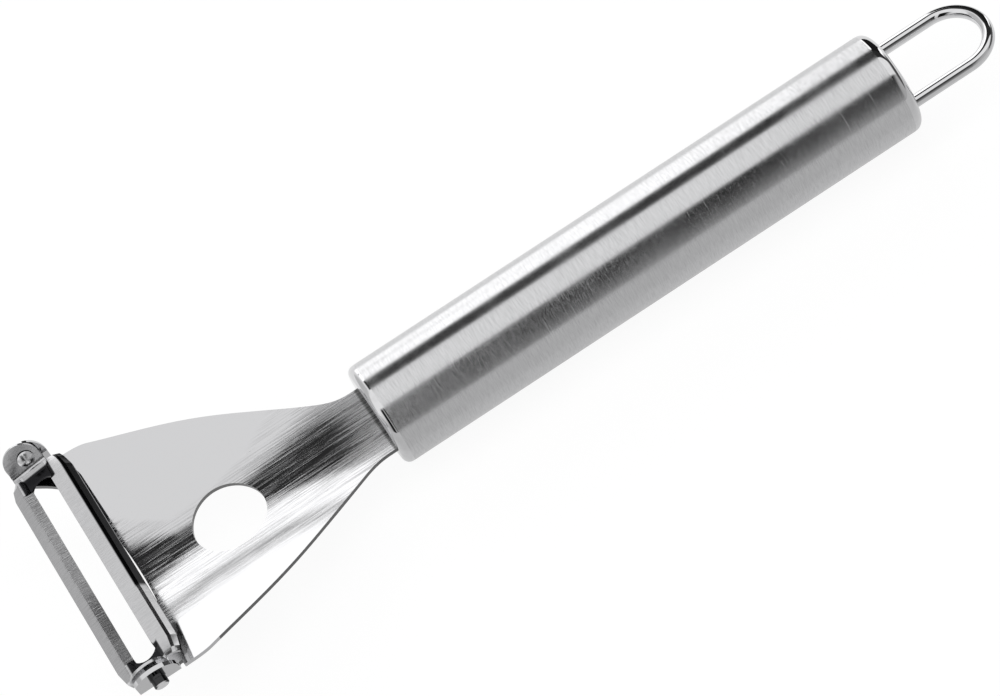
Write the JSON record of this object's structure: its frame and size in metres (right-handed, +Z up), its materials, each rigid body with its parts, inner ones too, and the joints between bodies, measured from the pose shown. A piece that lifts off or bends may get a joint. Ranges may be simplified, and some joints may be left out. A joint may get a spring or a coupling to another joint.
{
  "type": "vegetable peeler",
  "caption": "Wide steel Y peeler: round tube handle with a wire hanging loop, flared plate with a finger hole, and a slotted blade that swivels between raised ears.",
  "frame": {"origin": "under the middle of the whole peeler, on the surface that the handle lies on", "axes": "+X along the handle toward the head, +Y toward the left rivet, +Z up, to the side that the ears stand on"},
  "size_m": [0.1922, 0.0634, 0.0239],
  "materials": {
    "handle_steel": "brushed round its girth",
    "polished_steel": "polished",
    "plate_steel": "smooth wings, fine lines along the trough and neck",
    "blade_steel": "pressed sheet with a ground bevel",
    "rivet_steel": "turned and polished"
  },
  "bodies": {
    "frame": {"handle_tube": "handle_steel", "front_cap": "polished_steel", "rear_cap": "polished_steel", "hanging_loop": "polished_steel", "head_plate": "plate_steel", "pivot_rivet_left": "rivet_steel", "pivot_rivet_right": "rivet_steel", "spacer_collar_left": "rivet_steel", "spacer_collar_right": "rivet_steel"},
    "blade": {"peeling_blade": "blade_steel"}
  },
  "joints": [
    {"name": "blade_swivel", "type": "hinge", "parent": "frame", "child": "blade", "pos_m": [0.09043, 0, 0.0207], "axis": [0, 1, 0], "range_deg": [-23, 7]}
  ]
}
